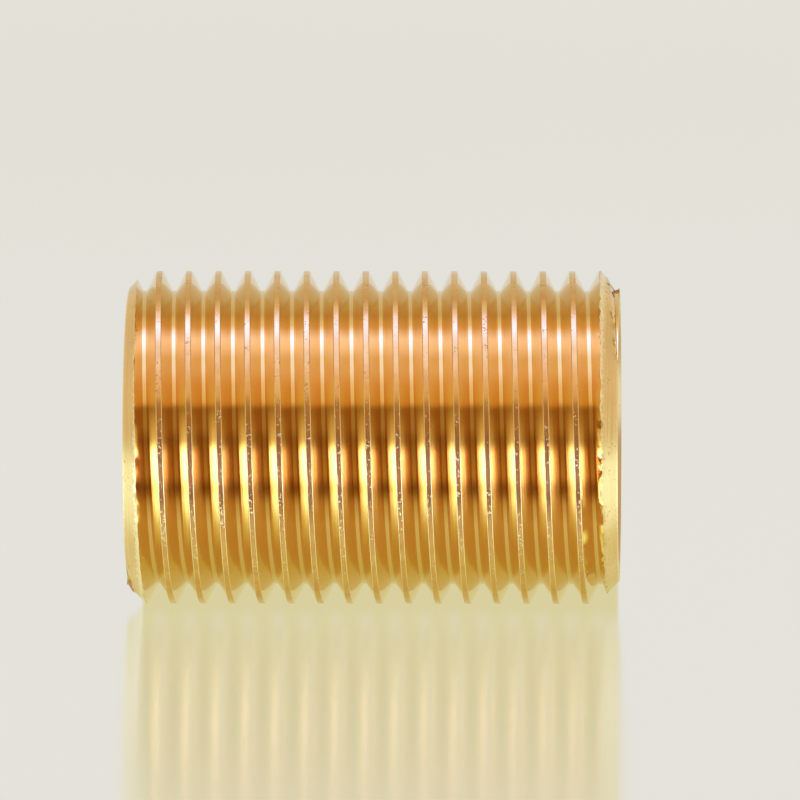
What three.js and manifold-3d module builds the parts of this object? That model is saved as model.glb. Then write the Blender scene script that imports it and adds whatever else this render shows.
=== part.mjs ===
// Straight all-thread pipe nipple, turned from one brass bar: a plain round bore and a
// right-hand parallel pipe thread along its whole length, with a chamfer at each end.
// Millimetres, +Z up. The bore lies along +X, and the origin is on its axis at mid-length.

import * as THREE from "three";
import { mergeVertices } from "three/addons/utils/BufferGeometryUtils.js";
import Module from "manifold-3d";

// Driving dimensions
const length = 30.2; // between the two end faces
const crestRadius = 10.25; // the flat thread crests
const rootRadius = 9.05; // the bottom of the groove
const boreRadius = 7.5;
const pitch = 25.4 / 14; // 14 threads to the inch
const crestWidth = 0.345; // flat left on each crest
const flankAngle = THREE.MathUtils.degToRad(27.5); // half of the 55 degree thread form
const startFaceRadius = 9.2; // end face at -X, where its 45 degree chamfer starts
const endFaceRadius = 8.97; // end face at +X, chamfered a little deeper
const boreChamfer = 0.4;
const topGrooveX = -12.32; // one place where the groove passes over the top of the part
const stepsPerTurn = 32; // a multiple of 4, shared by the blank and the groove
const cutterOverlap = 0.2; // how far the groove cutter stands above the crests

const halfLength = length / 2;
const stepAngle = (2 * Math.PI) / stepsPerTurn;

// The thread groove's centre line: a right-hand helix about +X. Its cross-sections stand
// in planes that hold the bore axis, so the section never twists along the thread.
class GroovePath extends THREE.Curve {
  constructor(radius, firstStep, steps) {
    super();
    this.radius = radius;
    this.firstStep = firstStep;
    this.steps = steps;
  }

  // Turn about +X, counted from +Y towards +Z
  angle(t) {
    return (this.firstStep + t * this.steps) * stepAngle;
  }

  outward(t) {
    return new THREE.Vector3(0, Math.cos(this.angle(t)), Math.sin(this.angle(t)));
  }

  getPoint(t) {
    const turnsFromTop = this.angle(t) / (2 * Math.PI) - 0.25;
    const point = this.outward(t).multiplyScalar(this.radius);
    point.x = topGrooveX + pitch * turnsFromTop;
    return point;
  }

  getSpacedPoints(divisions) {
    return this.getPoints(divisions);
  }

  computeFrenetFrames(segments) {
    const normals = [];
    const binormals = [];
    const tangents = [];
    for (let i = 0; i <= segments; i++) {
      normals.push(this.outward(i / segments));
      binormals.push(new THREE.Vector3(-1, 0, 0));
      tangents.push(this.getTangent(i / segments));
    }
    return { tangents, normals, binormals };
  }
}

// Bar turned to the crest radius, bored through and chamfered, without its thread
function blankGeometry() {
  const startChamfer = crestRadius - startFaceRadius;
  const endChamfer = crestRadius - endFaceRadius;
  const profile = [
    [boreRadius + boreChamfer, -halfLength],
    [startFaceRadius, -halfLength],
    [crestRadius, -halfLength + startChamfer],
    [crestRadius, halfLength - endChamfer],
    [endFaceRadius, halfLength],
    [boreRadius + boreChamfer, halfLength],
    [boreRadius, halfLength - boreChamfer],
    [boreRadius, -halfLength + boreChamfer],
    [boreRadius + boreChamfer, -halfLength],
  ].map(([radius, along]) => new THREE.Vector2(radius, along));
  return new THREE.LatheGeometry(profile, stepsPerTurn).rotateZ(-Math.PI / 2);
}

// Swept shape of the thread groove, long enough to run out past both end faces
function grooveGeometry() {
  const cutDepth = crestRadius - rootRadius + cutterOverlap;
  const mouthHalfWidth = (pitch - crestWidth) / 2 + cutterOverlap * Math.tan(flankAngle);
  const rootHalfWidth = mouthHalfWidth - cutDepth * Math.tan(flankAngle);
  const section = new THREE.Shape([
    new THREE.Vector2(0, -rootHalfWidth),
    new THREE.Vector2(cutDepth, -mouthHalfWidth),
    new THREE.Vector2(cutDepth, mouthHalfWidth),
    new THREE.Vector2(0, rootHalfWidth),
  ]);
  const reach = halfLength + pitch;
  const firstStep = Math.floor(((-reach - topGrooveX) / pitch + 0.25) * stepsPerTurn);
  const lastStep = Math.ceil(((reach - topGrooveX) / pitch + 0.25) * stepsPerTurn);
  const steps = lastStep - firstStep;
  const extrudePath = new GroovePath(rootRadius, firstStep, steps);
  return new THREE.ExtrudeGeometry(section, { steps, bevelEnabled: false, extrudePath });
}

function toSolid(wasm, geometry) {
  geometry.deleteAttribute("normal");
  geometry.deleteAttribute("uv");
  const merged = mergeVertices(geometry, 1e-5);
  const vertProperties = new Float32Array(merged.attributes.position.array);
  const triVerts = new Uint32Array(merged.index.array);
  return new wasm.Manifold(new wasm.Mesh({ numProp: 3, vertProperties, triVerts }));
}

function toGeometry(solid) {
  const { vertProperties, triVerts } = solid.getMesh();
  const geometry = new THREE.BufferGeometry();
  geometry.setAttribute("position", new THREE.BufferAttribute(vertProperties, 3));
  geometry.setIndex(new THREE.BufferAttribute(triVerts, 1));
  geometry.computeVertexNormals();
  return geometry;
}

const wasm = await Module();
wasm.setup();

const blank = toSolid(wasm, blankGeometry());
const groove = toSolid(wasm, grooveGeometry());
const brass = new THREE.MeshStandardMaterial({ color: 0xd9a441, roughness: 0.25, metalness: 1 });
const nippleBody = new THREE.Mesh(toGeometry(blank.subtract(groove)), brass);
nippleBody.name = "nipple_body";

const nipple = new THREE.Group();
nipple.add(nippleBody);

export default nipple;
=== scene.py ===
"""A straight brass all-thread pipe nipple, lying on its side.

One finely turned brass body is the whole nipple: a pipe thread from end to end, a chamfer at
each end and a plain bore. Metres, +Z up, with the bore along X.
"""

import math

import bmesh
import bpy
from mathutils import Matrix, Vector, noise


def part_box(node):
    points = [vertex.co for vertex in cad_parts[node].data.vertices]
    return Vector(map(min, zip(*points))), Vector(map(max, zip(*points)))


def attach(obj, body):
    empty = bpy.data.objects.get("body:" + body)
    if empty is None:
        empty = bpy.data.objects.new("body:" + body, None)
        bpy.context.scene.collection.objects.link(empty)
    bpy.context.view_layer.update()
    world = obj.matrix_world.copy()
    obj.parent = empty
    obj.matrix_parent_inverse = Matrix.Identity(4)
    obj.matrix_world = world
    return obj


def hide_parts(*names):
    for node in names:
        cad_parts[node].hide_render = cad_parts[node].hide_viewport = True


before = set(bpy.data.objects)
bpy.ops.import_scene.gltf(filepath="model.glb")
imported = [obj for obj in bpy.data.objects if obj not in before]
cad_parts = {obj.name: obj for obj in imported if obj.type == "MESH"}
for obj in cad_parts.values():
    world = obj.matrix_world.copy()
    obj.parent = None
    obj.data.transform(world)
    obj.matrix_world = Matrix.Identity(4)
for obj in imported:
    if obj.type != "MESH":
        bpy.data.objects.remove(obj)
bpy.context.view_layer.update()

MM = 0.001
NODE = "nipple_body"

low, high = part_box(NODE)

# Sizes of the nipple. Its length and outside radius come from the frame.
HALF_LENGTH = (high - low).x / 2
CREST_RADIUS = (high - low).z / 2
ROOT_RADIUS = 9.05 * MM
BORE_RADIUS = 7.5 * MM
BORE_CHAMFER = 0.4 * MM
PITCH = 25.4 / 14 * MM
CREST_WIDTH = 0.345 * MM  # between the two flanks, if the crest's corners were sharp
CREST_CORNER = 0.06 * MM
FLANK_ANGLE = math.radians(27.5)
FLANK_HOLLOW = math.radians(1.1)  # how far a flank's slope turns, either way from its middle
START_FACE_RADIUS = 9.2 * MM
END_FACE_RADIUS = 8.97 * MM
END_CHAMFER_OFFSET = 0.13 * MM  # the +X chamfer was cut this far off the bore axis
TOP_CREST_X = -13.23 * MM  # one place where the crest passes over the top

# How finely it is divided.
FLAT_MARGIN = 0.008 * MM  # a strip along each corner, so that the broad faces shade as flat
FLANK_STEPS = 3
CORNER_STEPS = 3
THREAD_STEPS = 240  # per turn
TUBE_STEPS = 240
CHAMFER_RINGS = 9
SHARP_ANGLE = math.radians(35)
TURN_WELD = 0.002 * MM  # points this close are joined where one turn meets the next
CUT_WELD = 0.001 * MM  # and where the thread was cut

# Wear and tool damage.
NICKS_PER_METRE = 1600
NICK_START = 0.12  # nicks begin above this level of the noise, which goes from -1 to 1
NICK_DEPTH = 0.002 * MM
CREST_WAVER = 0.001 * MM
TEARS_PER_METRE = 2200
TEAR_START = 0.05  # likewise
TEAR_PULL = 0.7  # how far an edge is pulled along the bore, as a share of the tear
START_TEAR = 0.06 * MM
END_TEAR = 0.16 * MM
# A burr where the thread runs out at each end: its place, how far it reaches, and its pull.
START_BURR = (
    Vector((-HALF_LENGTH, -2 * MM, -9 * MM)), 0.8 * MM, Vector((-0.12, -0.15, -0.25)) * MM,
)
END_BURR = (
    Vector((HALF_LENGTH - 0.2 * MM, -1.2 * MM, 9.05 * MM)), 0.7 * MM, Vector((0.02, -0.1, 0.2)) * MM,
)
BURR_FULLNESS = 0.7  # how much of the pull it takes on average
BURR_CORE = 0.45  # nearer its middle than this, a burr has its own finish

THREAD, CREST, CHAMFER, FACE, BORE, BURR = range(6)  # material slots of the body


# ---- Shape -----------------------------------------------------------------------------

def everything(bm):
    """All the points, edges and faces, as the operators want them."""
    return bm.verts[:] + bm.edges[:] + bm.faces[:]


def draw_line(bm, tip, along, up):
    """Carries an outline on from its tip in a straight line, and returns the new tip."""
    new_tip = bmesh.ops.extrude_vert_indiv(bm, verts=[tip])["verts"][0]
    new_tip.co += Vector((along, 0, up))
    return new_tip


def draw_arc(bm, tip, to_centre, turn, steps):
    """Carries an outline on round a centre, clockwise for a positive turn."""
    centre = tip.co + Vector((to_centre[0], 0, to_centre[1]))
    swept = bmesh.ops.spin(
        bm, geom=[tip], cent=centre, axis=(0, 1, 0), angle=turn, steps=steps,
        use_merge=False, use_duplicate=False,
    )
    return next(item for item in swept["geom_last"] if isinstance(item, bmesh.types.BMVert))


def draw_slope(bm, tip, length, lean):
    """Carries an outline on in a straight line that leans from the axis of the crest."""
    return draw_line(bm, tip, length * math.sin(lean), length * math.cos(lean))


def draw_flank(bm, tip, length, rise):
    """Carries the outline down (-1) or up (1) a flank, a hair hollow from crest to root."""
    radius = length / (2 * math.sin(FLANK_HOLLOW))
    lean = FLANK_ANGLE + rise * FLANK_HOLLOW
    centre = (-rise * radius * math.cos(lean), radius * math.sin(lean))
    return draw_arc(bm, tip, centre, -2 * FLANK_HOLLOW, FLANK_STEPS)


def draw_one_thread(bm, crest_x):
    """Draws the outline of one thread, from the end of one crest to the end of the next."""
    turn = math.pi / 2 - FLANK_ANGLE
    depth = CREST_RADIUS - ROOT_RADIUS
    root_flat = PITCH - CREST_WIDTH - 2 * depth * math.tan(FLANK_ANGLE)
    crest_flat = CREST_WIDTH - 2 * CREST_CORNER * math.tan(turn / 2)
    corner_height = CREST_CORNER * (1 - math.sin(FLANK_ANGLE))
    flank_length = (depth - corner_height) / math.cos(FLANK_ANGLE) - FLAT_MARGIN
    to_corner = (CREST_CORNER * math.cos(FLANK_ANGLE), -CREST_CORNER * math.sin(FLANK_ANGLE))

    tip = bm.verts.new((crest_x + crest_flat / 2, 0, CREST_RADIUS))
    tip = draw_arc(bm, tip, (0, -CREST_CORNER), turn, CORNER_STEPS)
    tip = draw_slope(bm, tip, -FLAT_MARGIN, -FLANK_ANGLE)
    tip = draw_flank(bm, tip, flank_length, -1)
    tip = draw_line(bm, tip, root_flat, 0)
    tip = draw_flank(bm, tip, flank_length, 1)
    tip = draw_slope(bm, tip, FLAT_MARGIN, FLANK_ANGLE)
    tip = draw_arc(bm, tip, to_corner, turn, CORNER_STEPS)
    for length in (FLAT_MARGIN, crest_flat - 2 * FLAT_MARGIN, FLAT_MARGIN):
        tip = draw_line(bm, tip, length, 0)


def cut_flat(bm, x, outward):
    """Saws the rod off square at x and closes the cut."""
    no_snapping = 1e-9
    cut = bmesh.ops.bisect_plane(
        bm, geom=everything(bm), dist=no_snapping, plane_co=(x, 0, 0), plane_no=(outward, 0, 0),
        clear_outer=True,
    )
    rim = [item for item in cut["geom_cut"] if isinstance(item, bmesh.types.BMEdge)]
    bmesh.ops.edgeloop_fill(bm, edges=rim)


def make_threaded_rod():
    """A solid rod with the right-hand thread on it, a little longer than the nipple."""
    bm = bmesh.new()
    spare_turns = 2
    first_turn = math.floor((-HALF_LENGTH - TOP_CREST_X) / PITCH) - spare_turns
    turns = math.ceil(2 * HALF_LENGTH / PITCH) + 2 * spare_turns
    draw_one_thread(bm, TOP_CREST_X + first_turn * PITCH)
    bmesh.ops.spin(
        bm, geom=everything(bm), cent=(0, 0, 0), axis=(1, 0, 0), angle=2 * math.pi,
        dvec=(PITCH / THREAD_STEPS, 0, 0), steps=THREAD_STEPS, use_merge=False,
        use_duplicate=False,
    )
    one_turn = everything(bm)
    for number in range(1, turns):
        copy = bmesh.ops.duplicate(bm, geom=one_turn)["geom"]
        verts = [item for item in copy if isinstance(item, bmesh.types.BMVert)]
        bmesh.ops.translate(bm, verts=verts, vec=(number * PITCH, 0, 0))
    bmesh.ops.remove_doubles(bm, verts=bm.verts[:], dist=TURN_WELD)
    overlap = 0.4 * MM
    cut_flat(bm, -HALF_LENGTH - overlap, -1)
    cut_flat(bm, HALF_LENGTH + overlap, 1)
    bmesh.ops.recalc_face_normals(bm, faces=bm.faces[:])
    corner_share = 0.6  # of the corner's radius, which takes in all of the rounding
    crest_floor = CREST_RADIUS - CREST_CORNER * corner_share
    for face in bm.faces:
        face.material_index = CREST if off_axis(face.calc_center_median()) > crest_floor else THREAD
    return as_object(bm, "threaded_rod")


def off_axis(point):
    """How far a point is from the bore axis."""
    return math.hypot(point.y, point.z)


def make_turned_tube():
    """The plain tube that the lathe leaves: bore, end faces and chamfers, no thread."""
    bm = bmesh.new()
    spare = 0.5 * MM
    outside = CREST_RADIUS + spare
    start_chamfer = (outside - START_FACE_RADIUS) / CHAMFER_RINGS
    end_chamfer = (outside - END_FACE_RADIUS) / CHAMFER_RINGS
    tip = bm.verts.new((-HALF_LENGTH, 0, START_FACE_RADIUS))
    outline_start = tip
    for _ in range(CHAMFER_RINGS):
        tip = draw_line(bm, tip, start_chamfer, start_chamfer)
    plain_length = 2 * HALF_LENGTH - CHAMFER_RINGS * (start_chamfer + end_chamfer)
    tip = draw_line(bm, tip, plain_length, 0)
    for _ in range(CHAMFER_RINGS):
        tip = draw_line(bm, tip, end_chamfer, -end_chamfer)
    tip = draw_line(bm, tip, 0, BORE_RADIUS + BORE_CHAMFER - END_FACE_RADIUS)
    tip = draw_line(bm, tip, -BORE_CHAMFER, -BORE_CHAMFER)
    tip = draw_line(bm, tip, 2 * (BORE_CHAMFER - HALF_LENGTH), 0)
    tip = draw_line(bm, tip, -BORE_CHAMFER, BORE_CHAMFER)
    bm.edges.new((tip, outline_start))
    bmesh.ops.spin(
        bm, geom=bm.verts[:] + bm.edges[:], cent=(0, 0, 0), axis=(1, 0, 0), angle=2 * math.pi,
        steps=TUBE_STEPS, use_merge=True, use_duplicate=False,
    )
    bmesh.ops.recalc_face_normals(bm, faces=bm.faces[:])
    for face in bm.faces:
        lean = abs(face.normal.x)  # 1 on a flat end, 0 in the bore
        face.material_index = FACE if lean > 0.9 else CHAMFER if lean > 0.1 else BORE
    just_inside_rim = END_FACE_RADIUS - 0.01 * MM
    end_cone = [vert for vert in bm.verts if vert.co.x > 0 and off_axis(vert.co) > just_inside_rim]
    bmesh.ops.translate(bm, verts=end_cone, vec=(0, 0, END_CHAMFER_OFFSET))
    return as_object(bm, "turned_tube")


def as_object(bm, name):
    """Turns a finished bmesh into an object in the scene."""
    mesh = bpy.data.meshes.new(name)
    bm.to_mesh(mesh)
    bm.free()
    thing = bpy.data.objects.new(name, mesh)
    bpy.context.scene.collection.objects.link(thing)
    return thing


def keep_only_inside(body, mould):
    """Cuts the body down to what lies inside the mould, and discards the mould."""
    cut = body.modifiers.new("cut", "BOOLEAN")
    cut.operation = "INTERSECT"
    cut.solver = "MANIFOLD"
    cut.object = mould
    bpy.context.view_layer.update()
    shaped = body.evaluated_get(bpy.context.evaluated_depsgraph_get())
    shape = bpy.data.meshes.new_from_object(shaped)
    body.modifiers.clear()
    body.data = shape
    bpy.data.objects.remove(mould)


def kinds_round(vert):
    """Which of the body's finishes meet at a point."""
    return {face.material_index for face in vert.link_faces}


def nick_crests(bm):
    """Small dents and smears that handling leaves along the crests."""
    for vert in bm.verts:
        if kinds_round(vert) != {CREST}:
            continue
        place = vert.co * NICKS_PER_METRE
        dent = max(0, noise.noise(place) - NICK_START) * NICK_DEPTH
        elsewhere = place + Vector((7, 0, 0))
        smear = noise.noise(elsewhere) * CREST_WAVER
        out = Vector((0, vert.co.y, vert.co.z)).normalized()
        vert.co += Vector((smear, 0, 0)) - out * dent


def tear_chamfer_edges(bm):
    """Lifts and pulls the feather edge that a chamfer leaves where it cuts the thread."""
    for vert in bm.verts:
        kinds = kinds_round(vert)
        if CHAMFER not in kinds or not kinds & {THREAD, CREST}:
            continue
        tear = END_TEAR if vert.co.x > 0 else START_TEAR
        place = vert.co * TEARS_PER_METRE
        elsewhere = place + Vector((0, 9, 0))
        lift = max(0, noise.noise(place) - TEAR_START) * tear
        pull = noise.noise(elsewhere) * tear * TEAR_PULL
        out = Vector((0, vert.co.y, vert.co.z)).normalized()
        vert.co += out * lift + Vector((pull, 0, 0))


def pull_burr(bm, place, reach, pull):
    """Draws the metal round one place out into a torn scrap."""
    for vert in bm.verts:
        nearness = 1 - (vert.co - place).length / reach
        if nearness > 0:
            ragged = BURR_FULLNESS + noise.noise(vert.co * TEARS_PER_METRE)
            vert.co += pull * nearness * ragged
            if nearness > BURR_CORE:
                for face in vert.link_faces:
                    face.material_index = BURR


def set_sharp_edges(bm):
    """Shades the body smooth, but keeps its corners and the edges between cuts crisp."""
    for edge in bm.edges:
        kinds = {face.material_index for face in edge.link_faces}
        same_cut = len(kinds) == 1 or kinds == {THREAD, CREST}
        edge.smooth = same_cut and edge.calc_face_angle(0) < SHARP_ANGLE
    for face in bm.faces:
        face.smooth = True


def make_body(materials):
    """The nipple itself: the threaded rod, cut to the turned tube, then worn."""
    rod = make_threaded_rod()
    tube = make_turned_tube()
    for thing in (rod, tube):
        for material in materials:
            thing.data.materials.append(material)
    keep_only_inside(rod, tube)
    bm = bmesh.new()
    bm.from_mesh(rod.data)
    bmesh.ops.remove_doubles(bm, verts=bm.verts[:], dist=CUT_WELD)
    nick_crests(bm)
    tear_chamfer_edges(bm)
    pull_burr(bm, *START_BURR)
    pull_burr(bm, *END_BURR)
    set_sharp_edges(bm)
    bm.to_mesh(rod.data)
    bm.free()
    rod.name = rod.data.name = "brass_nipple"
    return rod


# ---- Materials -------------------------------------------------------------------------

def add(tree, kind, sockets=None, **settings):
    """Adds a node, sets it up, and gives each named input a number, a colour or a link."""
    node = tree.nodes.new("ShaderNode" + kind)
    for name, value in settings.items():
        setattr(node, name, value)
    for name, value in (sockets or {}).items():
        socket = node.inputs[name]
        if isinstance(value, bpy.types.NodeSocket):
            tree.links.new(value, socket)
        else:
            socket.default_value = value
    return node


def calculate(tree, operation, first, second=0.0, third=0.0):
    """One step of arithmetic on numbers or on other nodes' outputs."""
    node = add(tree, "Math", {0: first, 1: second, 2: third}, operation=operation)
    return node.outputs[0]


def fade(tree, value, start, end, low=0.0, high=1.0):
    """Goes smoothly from low to high as the value goes from start to end."""
    sockets = {"Value": value, "From Min": start, "From Max": end, "To Min": low, "To Max": high}
    return add(tree, "MapRange", sockets, interpolation_type="SMOOTHSTEP").outputs[0]


def blend_colors(tree, factor, first, second):
    """Goes from the first colour at a factor of 0 to the second at 1."""
    node = add(tree, "Mix", {"Factor": factor}, data_type="RGBA")
    for socket, color in zip((node.inputs["A"], node.inputs["B"]), (first, second)):
        if isinstance(color, tuple):
            socket.default_value = (*color, 1)
        else:
            tree.links.new(color, socket)
    return node.outputs["Result"]


def new_group(name, inputs, outputs):
    """An empty node group with named number inputs and number outputs."""
    tree = bpy.data.node_groups.new(name, "ShaderNodeTree")
    for label, value in inputs.items():
        socket = tree.interface.new_socket(label, in_out="INPUT", socket_type="NodeSocketFloat")
        socket.default_value = value
    for label in outputs:
        tree.interface.new_socket(label, in_out="OUTPUT", socket_type="NodeSocketFloat")
    entry = tree.nodes.new("NodeGroupInput")
    leaving = tree.nodes.new("NodeGroupOutput")
    return tree, entry.outputs, leaving.inputs


def place_on_axis(tree):
    """Where a point lies: its x, y and z, and its distance off the bore axis."""
    place = add(tree, "TexCoord").outputs["Object"]
    x, y, z = add(tree, "SeparateXYZ", {"Vector": place}).outputs
    z_squared = calculate(tree, "MULTIPLY", z, z)
    reach = calculate(tree, "SQRT", calculate(tree, "MULTIPLY_ADD", y, y, z_squared))
    return x, y, z, reach


def make_across_thread():
    """How far a point is from the middle of the crest, measured along the bore axis."""
    tree, _, outputs = new_group("across_thread", {}, ["Distance"])
    x, y, z, _ = place_on_axis(tree)
    turn = calculate(tree, "ARCTAN2", y, z)
    along = calculate(tree, "MULTIPLY_ADD", turn, PITCH / (2 * math.pi), x)
    from_crest = calculate(tree, "SUBTRACT", along, TOP_CREST_X)
    wrapped = calculate(tree, "WRAP", from_crest, PITCH / 2, -PITCH / 2)
    tree.links.new(wrapped, outputs["Distance"])
    return tree


def make_tool_marks():
    """Fine parallel scratches that run round the work, in the direction the tool travelled."""
    tree, inputs, outputs = new_group("tool_marks", {"Place": 0, "Per Metre": 12000}, ["Marks"])
    x, y, z, reach = place_on_axis(tree)
    round_y = calculate(tree, "DIVIDE", y, reach)
    round_z = calculate(tree, "DIVIDE", z, reach)
    changes_per_metre = 700  # along the bore, where the scratches begin and end
    slow_x = calculate(tree, "MULTIPLY", x, changes_per_metre)
    direction = add(tree, "CombineXYZ", {0: slow_x, 1: round_y, 2: round_z}).outputs[0]
    across = calculate(tree, "MULTIPLY", inputs["Place"], inputs["Per Metre"])
    sockets = {"Vector": direction, "W": across, "Scale": 1, "Detail": 4, "Roughness": 0.7}
    marks = add(tree, "TexNoise", sockets, noise_dimensions="4D").outputs[0]
    tree.links.new(marks, outputs["Marks"])
    return tree


def make_pits():
    """Ragged little pits and tears, closer together in some places than in others."""
    tree, inputs, outputs = new_group("pits", {"Per Metre": 7000, "Amount": 0.5}, ["Pits"])
    place = add(tree, "TexCoord").outputs["Object"]
    specks = {"Vector": place, "Scale": inputs["Per Metre"], "Detail": 3}
    fine = add(tree, "TexNoise", specks).outputs[0]
    patches = add(tree, "TexNoise", {"Vector": place, "Scale": 900, "Detail": 1}).outputs[0]
    level = calculate(tree, "MULTIPLY_ADD", patches, 0.35, fine)
    cover = calculate(tree, "MULTIPLY_ADD", inputs["Amount"], -0.4, 1.0)
    pits = fade(tree, calculate(tree, "SUBTRACT", level, cover), -0.06, 0.06)
    tree.links.new(pits, outputs["Pits"])
    return tree


def make_tarnish():
    """Cloudy darkening with finer mottling inside it."""
    tree, inputs, outputs = new_group("tarnish", {"Per Metre": 300}, ["Tarnish"])
    place = add(tree, "TexCoord").outputs["Object"]
    sockets = {"Vector": place, "Scale": inputs["Per Metre"], "Detail": 5, "Roughness": 0.65}
    clouds = add(tree, "TexNoise", sockets).outputs[0]
    tree.links.new(fade(tree, clouds, 0.35, 0.7), outputs["Tarnish"])
    return tree


def make_edge_wear_and_highlight():
    """A ragged bright line beside an edge, from the distance to that edge: wear with a painted
    highlight on it.
    """
    tree, inputs, outputs = new_group("edge_wear_and_highlight", {"Distance": 0, "Width": 0.0001}, ["Wear"])
    place = add(tree, "TexCoord").outputs["Object"]
    ragged = add(tree, "TexNoise", {"Vector": place, "Scale": 5000, "Detail": 3}).outputs[0]
    width = calculate(tree, "MULTIPLY", calculate(tree, "MULTIPLY", ragged, 2), inputs["Width"])
    share = calculate(tree, "DIVIDE", calculate(tree, "ABSOLUTE", inputs["Distance"]), width)
    tree.links.new(fade(tree, share, 1.2, 0.6), outputs["Wear"])
    return tree


def use(tree, group, **values):
    """Places a shared node group in a material and returns its only output."""
    node = tree.nodes.new("ShaderNodeGroup")
    node.node_tree = group
    for name, value in values.items():
        socket = node.inputs[name.replace("_", " ")]
        if isinstance(value, bpy.types.NodeSocket):
            tree.links.new(value, socket)
        else:
            socket.default_value = value
    return node.outputs[0]


def new_brass(name):
    """A bare metal, to be given its colour, roughness and relief."""
    material = bpy.data.materials.new(name)
    material.use_nodes = True
    tree = material.node_tree
    shader = tree.nodes["Principled BSDF"].inputs
    shader["Metallic"].default_value = 1
    return material, tree, shader


def finish_brass(tree, shader, color, roughness, height, bump_depth):
    """Gives the metal its colour, its roughness and a relief of the depth given."""
    tree.links.new(color, shader["Base Color"])
    tree.links.new(roughness, shader["Roughness"])
    bump = add(tree, "Bump", {"Strength": 1, "Distance": bump_depth, "Height": height})
    tree.links.new(bump.outputs[0], shader["Normal"])


def make_thread_flanks(groups):
    """Bright cut flanks, with painted shade that deepens their colour towards the root."""
    material, tree, shader = new_brass("thread_flanks")
    across = use(tree, groups["across_thread"])
    marks = use(tree, groups["tool_marks"], Place=across, Per_Metre=14000.0)
    tarnish = use(tree, groups["tarnish"], Per_Metre=350.0)
    # Painted shade: the colour grows deeper and darker towards the root of the groove.
    depth = fade(tree, calculate(tree, "ABSOLUTE", across), 0.15 * MM, 0.85 * MM)
    color = blend_colors(tree, depth, (0.9, 0.72, 0.47), (0.88, 0.68, 0.39))
    color = blend_colors(tree, calculate(tree, "MULTIPLY", tarnish, 0.35), color, (0.84, 0.62, 0.34))
    roughness = fade(tree, marks, 0.3, 0.7, low=0.05, high=0.11)
    finish_brass(tree, shader, color, roughness, marks, bump_depth=0.0006 * MM)
    return material


def make_thread_crests(groups):
    """Rolled, slightly torn crests, pinker and duller than the flanks."""
    material, tree, shader = new_brass("thread_crests")
    across = use(tree, groups["across_thread"])
    marks = use(tree, groups["tool_marks"], Place=across, Per_Metre=16000.0)
    pits = use(tree, groups["pits"], Per_Metre=6500.0, Amount=0.36)
    tarnish = use(tree, groups["tarnish"], Per_Metre=500.0)
    color = blend_colors(tree, tarnish, (0.9, 0.64, 0.38), (0.8, 0.52, 0.28))
    color = blend_colors(tree, calculate(tree, "MULTIPLY", pits, 0.6), color, (0.4, 0.2, 0.11))
    roughness = calculate(tree, "MULTIPLY_ADD", pits, 0.2, 0.18)
    height = calculate(tree, "MULTIPLY_ADD", pits, -5.0, marks)
    finish_brass(tree, shader, color, roughness, height, bump_depth=0.0012 * MM)
    return material


def make_turned_chamfers(groups):
    """Conical cuts with coarse lathe marks, and chipped rims made bright by wear and a painted
    highlight.
    """
    material, tree, shader = new_brass("turned_chamfers")
    x, _, _, reach = place_on_axis(tree)
    marks = use(tree, groups["tool_marks"], Place=reach, Per_Metre=7000.0)
    pits = use(tree, groups["pits"], Per_Metre=6000.0, Amount=0.35)
    tarnish = use(tree, groups["tarnish"], Per_Metre=300.0)
    to_face = calculate(tree, "SUBTRACT", HALF_LENGTH, calculate(tree, "ABSOLUTE", x))
    rim_wear_and_highlight = use(tree, groups["edge_wear_and_highlight"], Distance=to_face, Width=0.08 * MM)
    to_thread = calculate(tree, "SUBTRACT", CREST_RADIUS, reach)
    lip_wear_and_highlight = use(tree, groups["edge_wear_and_highlight"], Distance=to_thread, Width=0.35 * MM)
    color = blend_colors(tree, fade(tree, marks, 0.3, 0.7), (0.82, 0.62, 0.34), (0.93, 0.74, 0.47))
    color = blend_colors(tree, calculate(tree, "MULTIPLY", tarnish, 0.4), color, (0.76, 0.55, 0.28))
    color = blend_colors(tree, calculate(tree, "MULTIPLY", pits, 0.5), color, (0.5, 0.28, 0.12))
    # Wear and painted highlight: a pale line along the flat end's rim, and a paler one where the
    # chamfer meets the thread.
    color = blend_colors(tree, rim_wear_and_highlight, color, (0.97, 0.8, 0.55))
    color = blend_colors(tree, lip_wear_and_highlight, color, (1.0, 0.92, 0.74))
    # The chamfers in the mouths of the bore are duller than the outer ones.
    bore_mouth = BORE_RADIUS + BORE_CHAMFER
    inner = fade(tree, reach, bore_mouth + 0.3 * MM, bore_mouth + 0.1 * MM)
    color = blend_colors(tree, inner, color, (0.66, 0.48, 0.33))
    roughness = fade(tree, marks, 0.3, 0.7, low=0.18, high=0.3)
    height = calculate(tree, "MULTIPLY_ADD", pits, -1.5, marks)
    finish_brass(tree, shader, color, roughness, height, bump_depth=0.005 * MM)
    return material


def make_faced_ends(groups):
    """Flat ends with the rings that a facing tool leaves."""
    material, tree, shader = new_brass("faced_ends")
    _, _, _, reach = place_on_axis(tree)
    marks = use(tree, groups["tool_marks"], Place=reach, Per_Metre=9000.0)
    tarnish = use(tree, groups["tarnish"], Per_Metre=260.0)
    ring_pitch = 0.11 * MM
    rings = calculate(tree, "SINE", calculate(tree, "MULTIPLY", reach, 2 * math.pi / ring_pitch))
    color = blend_colors(tree, fade(tree, marks, 0.3, 0.7), (0.84, 0.63, 0.36), (0.92, 0.72, 0.45))
    color = blend_colors(tree, calculate(tree, "MULTIPLY", tarnish, 0.5), color, (0.72, 0.5, 0.26))
    roughness = fade(tree, marks, 0.3, 0.7, low=0.2, high=0.34)
    height = calculate(tree, "MULTIPLY_ADD", rings, 0.35, marks)
    finish_brass(tree, shader, color, roughness, height, bump_depth=0.002 * MM)
    return material


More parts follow.
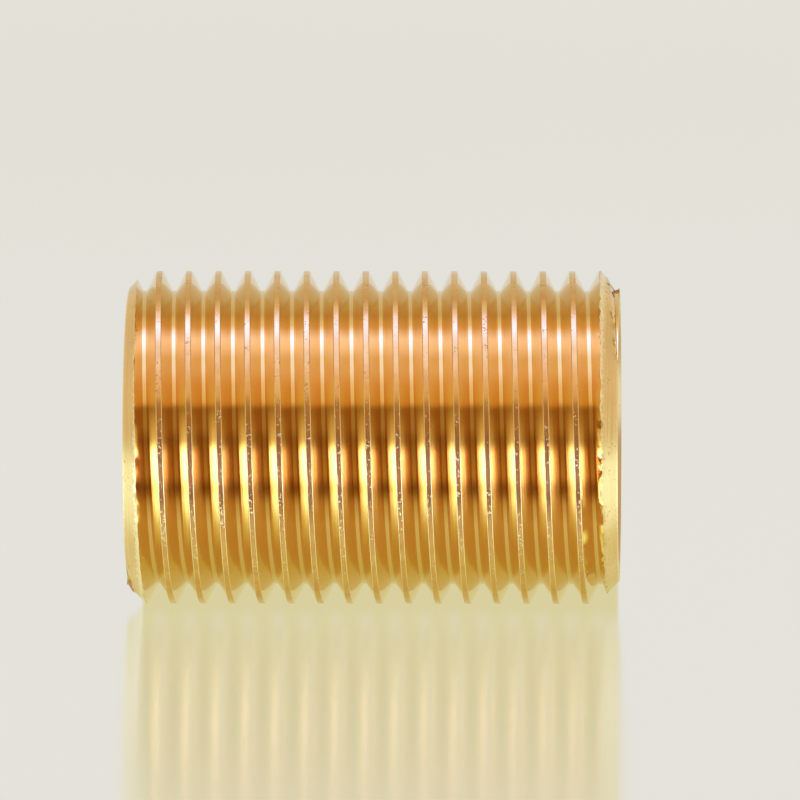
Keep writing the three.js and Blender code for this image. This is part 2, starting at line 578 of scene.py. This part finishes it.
def make_drilled_bore(groups):
    """A bore with feed marks round it, dulled inside."""
    material, tree, shader = new_brass("drilled_bore")
    x, _, _, _ = place_on_axis(tree)
    marks = use(tree, groups["tool_marks"], Place=x, Per_Metre=5000.0)
    pits = use(tree, groups["pits"], Per_Metre=4000.0, Amount=0.3)
    tarnish = use(tree, groups["tarnish"], Per_Metre=200.0)
    feed_pitch = 0.2 * MM
    feed = calculate(tree, "SINE", calculate(tree, "MULTIPLY", x, 2 * math.pi / feed_pitch))
    color = blend_colors(tree, tarnish, (0.84, 0.62, 0.34), (0.66, 0.45, 0.22))
    color = blend_colors(tree, calculate(tree, "MULTIPLY", pits, 0.5), color, (0.4, 0.24, 0.1))
    roughness = fade(tree, marks, 0.3, 0.7, low=0.24, high=0.4)
    height = calculate(tree, "MULTIPLY_ADD", feed, 0.4, marks)
    finish_brass(tree, shader, color, roughness, height, bump_depth=0.006 * MM)
    return material


def make_torn_burrs(groups):
    """Scraps of torn metal, darker and redder than the rest."""
    material, tree, shader = new_brass("torn_burrs")
    tarnish = use(tree, groups["tarnish"], Per_Metre=2500.0)
    pits = use(tree, groups["pits"], Per_Metre=9000.0, Amount=0.5)
    color = blend_colors(tree, tarnish, (0.72, 0.42, 0.23), (0.35, 0.15, 0.06))
    roughness = calculate(tree, "MULTIPLY_ADD", pits, 0.2, 0.25)
    finish_brass(tree, shader, color, roughness, pits, bump_depth=0.01 * MM)
    return material


def make_materials():
    """The six finishes, in the order of the body's material slots."""
    groups = {
        "across_thread": make_across_thread(),
        "tool_marks": make_tool_marks(),
        "pits": make_pits(),
        "tarnish": make_tarnish(),
        "edge_wear_and_highlight": make_edge_wear_and_highlight(),
    }
    return [
        make_thread_flanks(groups),
        make_thread_crests(groups),
        make_turned_chamfers(groups),
        make_faced_ends(groups),
        make_drilled_bore(groups),
        make_torn_burrs(groups),
    ]


# ---- Studio ----------------------------------------------------------------------------

def make_camera():
    """A long lens, almost level with the nipple and a little to its right."""
    distance = 830 * MM
    elevation = math.radians(2)
    target = Vector((1.57, 0, 2.31)) * MM
    sideways = 26.5 * MM
    rise = distance * math.sin(elevation)
    place = Vector((sideways, -distance * math.cos(elevation), target.z + rise))
    view_width = 49.3 * MM
    camera = bpy.data.cameras.new("camera")
    camera.sensor_width = 36
    camera.lens = camera.sensor_width * (target - place).length / view_width
    camera.clip_start = 0.05
    camera.clip_end = 100
    holder = bpy.data.objects.new("camera", camera)
    bpy.context.scene.collection.objects.link(holder)
    aim = (target - place).to_track_quat("-Z", "Y").to_matrix().to_4x4()
    holder.matrix_world = Matrix.Translation(place) @ aim
    bpy.context.scene.camera = holder


def light_floor(tree):
    """The floor's own soft light with a gloss, and a painted reflection of the brass that makes it
    warmer under and in front of the nipple.
    """
    x, y, _, _ = place_on_axis(tree)
    # The sides of the painted reflection of the brass run along the camera's lines of sight past the
    # nipple's ends.
    left_lean, left_x = -0.05, -14.3 * MM
    right_lean, right_x = -0.014, 15 * MM
    left_end = calculate(tree, "MULTIPLY_ADD", y, left_lean, left_x)
    right_end = calculate(tree, "MULTIPLY_ADD", y, right_lean, right_x)
    past_left = calculate(tree, "SUBTRACT", x, left_end)
    past_right = calculate(tree, "SUBTRACT", x, right_end)
    soft_edge = 0.15 * MM
    inside = calculate(
        tree, "MULTIPLY",
        fade(tree, past_left, -soft_edge, soft_edge), fade(tree, past_right, soft_edge, -soft_edge),
    )
    # Painted reflection: the floor's glow is a little yellower in front of and under the nipple.
    before = calculate(tree, "MULTIPLY", inside, fade(tree, y, 30 * MM, 0))
    close_by = calculate(
        tree, "MULTIPLY",
        fade(tree, y, -36 * MM, -4 * MM), fade(tree, y, 50 * MM, 30 * MM),
    )
    # Painted reflection of the brass: where the brass would tint the floor, under and around the
    # nipple.
    painted_reflection_mask = calculate(tree, "MULTIPLY", inside, close_by)

    shade = blend_colors(tree, before, (1.19, 1.22, 0.79), (1.15, 1.16, 0.69))
    glow = add(tree, "Emission", {"Color": shade})
    gloss = add(tree, "BsdfAnisotropic", {"Color": (0.57, 0.51, 1, 1), "Roughness": 0.13})
    gloss_share = 0.53
    plain = add(tree, "MixShader", {0: gloss_share, 1: glow.outputs[0], 2: gloss.outputs[0]})
    # The painted reflection's own yellow glow, which takes the place of the floor's plain glow and
    # gloss.
    painted_reflection_glow = add(tree, "Emission", {"Color": (0.7, 0.63, 0.345, 1)})
    lit = add(tree, "MixShader", {0: painted_reflection_mask, 1: plain.outputs[0], 2: painted_reflection_glow.outputs[0]})
    tree.links.new(lit.outputs[0], tree.nodes["Material Output"].inputs["Surface"])


def make_floor():
    """A wide pale floor that the nipple lies on. The brass doesn't mirror it."""
    bm = bmesh.new()
    bmesh.ops.create_circle(bm, cap_ends=True, radius=30, segments=64)
    bmesh.ops.translate(bm, verts=bm.verts[:], vec=(0, 0, -CREST_RADIUS))
    floor = as_object(bm, "floor")
    material = bpy.data.materials.new("pale_floor")
    material.use_nodes = True
    tree = material.node_tree
    tree.nodes.remove(tree.nodes["Principled BSDF"])
    light_floor(tree)
    floor.data.materials.append(material)
    floor.visible_glossy = False
    floor.visible_diffuse = False
    floor.visible_shadow = False


def ramp_of(tree, source, stops, first=-180, last=180):
    """A colour ramp. The source goes from 0 to 1 as the stops go from first to last."""
    ramp = tree.nodes.new("ShaderNodeValToRGB")
    while len(ramp.color_ramp.elements) > 1:
        ramp.color_ramp.elements.remove(ramp.color_ramp.elements[-1])
    ramp.color_ramp.interpolation = "LINEAR"
    for number, (level, color) in enumerate(stops):
        place = (level - first) / (last - first)
        if number:
            stop = ramp.color_ramp.elements.new(place)
        else:
            stop = ramp.color_ramp.elements[0]
            stop.position = place
        stop.color = (*color, 1)
    tree.links.new(source, ramp.inputs["Fac"])
    return ramp.outputs["Color"]


# The studio is soft light from all round, which the brass mirrors. The first three ramps go by
# an upward angle in degrees: 0 is level and towards the camera, 90 straight up, -90 straight
# down, and 180 or -180 level and away from the camera. The last goes by height alone.

def light_ahead(tree, upward):
    """Straight before the nipple: a dark camera, with a bright box above it."""
    return ramp_of(tree, upward, [
        (-180, (0.72, 0.68, 0.38)),
        (-130, (0.61, 0.5, 0.13)),
        (-100, (0.66, 0.52, 0.18)),
        (-70, (0.7, 0.56, 0.22)),
        (-52, (0.56, 0.37, 0.1)),
        (-44, (0.31, 0.145, 0.02)),
        (-38, (0.2, 0.065, 0.003)),
        (-27, (0.44, 0.2, 0.028)),
        (0, (0.27, 0.11, 0.015)),
        (10, (0.4, 0.21, 0.05)),
        (25, (0.38, 0.19, 0.045)),
        (30, (0.86, 0.57, 0.21)),
        (44, (0.96, 0.7, 0.42)),
        (57, (1.1, 1.0, 1.0)),
        (68, (1.08, 1.02, 1.05)),
        (79, (1.42, 1.5, 2.4)),
        (87, (1.5, 1.65, 3.0)),
        (100, (0.95, 0.74, 0.43)),
        (115, (0.66, 0.5, 0.23)),
        (130, (0.7, 0.6, 0.36)),
        (180, (0.76, 0.74, 0.66)),
    ])


def light_beside_camera(tree, upward):
    """A little way to either side of the camera: bright low panels, and the same box above."""
    return ramp_of(tree, upward, [
        (-180, (0.72, 0.68, 0.38)),
        (-130, (0.66, 0.6, 0.2)),
        (-95, (1.2, 1.95, 1.2)),
        (-75, (1.5, 2.45, 2.3)),
        (-60, (2.7, 4.6, 5.5)),
        (-50, (4.2, 7.0, 8.0)),
        (-40, (3.4, 4.6, 4.6)),
        (-28, (5.5, 8.5, 13)),
        (-11, (5.5, 8.5, 12)),
        (-5, (2.3, 3.1, 2.8)),
        (-1, (1.25, 1.45, 1.2)),
        (10, (0.93, 0.95, 0.62)),
        (25, (0.48, 0.4, 0.17)),
        (30, (0.95, 0.83, 0.35)),
        (38, (1.01, 0.9, 0.47)),
        (50, (1.07, 0.9, 0.78)),
        (68, (1.2, 1.08, 1.25)),
        (84, (1.45, 1.6, 3.0)),
        (96, (0.86, 0.7, 0.45)),
        (110, (0.56, 0.41, 0.14)),
        (130, (0.62, 0.52, 0.28)),
        (180, (0.76, 0.74, 0.66)),
    ])


def light_panel_edge(tree, upward):
    """The warm edge between the dark camera and the panels beside it."""
    return ramp_of(tree, upward, [
        (-180, (0.72, 0.68, 0.38)),
        (-130, (0.64, 0.56, 0.16)),
        (-95, (0.95, 1.35, 0.5)),
        (-60, (1.1, 1.1, 0.6)),
        (-50, (1.05, 0.7, 0.25)),
        (-40, (1.0, 0.58, 0.15)),
        (-28, (2.2, 1.4, 0.5)),
        (-11, (2.0, 1.05, 0.3)),
        (-5, (0.75, 0.5, 0.18)),
        (0, (0.42, 0.3, 0.1)),
        (10, (0.5, 0.36, 0.13)),
        (25, (0.4, 0.25, 0.08)),
        (30, (0.9, 0.68, 0.28)),
        (44, (0.98, 0.8, 0.45)),
        (57, (1.08, 0.95, 0.9)),
        (82, (1.38, 1.5, 2.4)),
        (110, (0.62, 0.48, 0.2)),
        (180, (0.76, 0.74, 0.66)),
    ])


def light_off_the_ends(tree, y, z):
    """Past the nipple's two ends: plain walls, and a low lamp except towards the back."""
    height = calculate(tree, "MULTIPLY_ADD", z, 0.5, 0.5)
    walls = ramp_of(tree, height, [
        (-1, (0.62, 0.5, 0.12)),
        (-0.6, (0.64, 0.54, 0.13)),
        (-0.5, (0.82, 0.77, 0.46)),
        (0, (0.74, 0.63, 0.36)),
        (0.3, (0.84, 0.68, 0.41)),
        (0.5, (0.76, 0.63, 0.41)),
        (0.65, (0.53, 0.37, 0.13)),
        (0.85, (0.52, 0.38, 0.15)),
        (1, (0.56, 0.43, 0.21)),
    ], -1, 1)
    low = calculate(tree, "MULTIPLY", fade(tree, z, -0.02, -0.2), fade(tree, z, -0.75, -0.4))
    lamp = calculate(tree, "MULTIPLY", low, fade(tree, y, 0.5, 0.15))
    return blend_colors(tree, lamp, walls, (1.25, 1.4, 1.1))


def make_studio():
    """Soft light all round: a box overhead, low panels beside the camera, a pale backdrop."""
    world = bpy.data.worlds.new("studio")
    bpy.context.scene.world = world
    world.use_nodes = True
    tree = world.node_tree
    direction = add(tree, "TexCoord").outputs["Generated"]
    x, y, z = add(tree, "SeparateXYZ", {"Vector": direction}).outputs
    angle = calculate(tree, "ARCTAN2", z, calculate(tree, "MULTIPLY", y, -1))
    upward = calculate(tree, "MULTIPLY_ADD", angle, 1 / (2 * math.pi), 0.5)
    aside = calculate(tree, "ABSOLUTE", x)
    # The zones round the camera narrow to almost nothing towards the back.
    width = calculate(tree, "SQRT", calculate(tree, "MULTIPLY_ADD", y, -0.5, 0.51))
    beside = calculate(tree, "DIVIDE", aside, width)
    camera_side = (0.17, 0.25)
    panel_side = (0.22, 0.29)
    wall_side = (0.3, 0.48)

    ahead = light_ahead(tree, upward)
    edge = light_panel_edge(tree, upward)
    panels = light_beside_camera(tree, upward)
    off_the_ends = light_off_the_ends(tree, y, z)
    around = blend_colors(tree, fade(tree, beside, *camera_side), ahead, edge)
    around = blend_colors(tree, fade(tree, beside, *panel_side), around, panels)
    around = blend_colors(tree, fade(tree, aside, *wall_side), around, off_the_ends)
    seen = add(tree, "LightPath").outputs["Is Camera Ray"]
    backdrop = (0.78, 0.77, 0.745)
    shown = blend_colors(tree, seen, around, backdrop)
    tree.links.new(shown, tree.nodes["Background"].inputs["Color"])
    bpy.context.scene.view_settings.view_transform = "Standard"
    bpy.context.scene.cycles.max_bounces = 16
    bpy.context.scene.cycles.glossy_bounces = 12


make_camera()
make_floor()
make_studio()
body = make_body(make_materials())
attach(body, "root")
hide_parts(NODE)
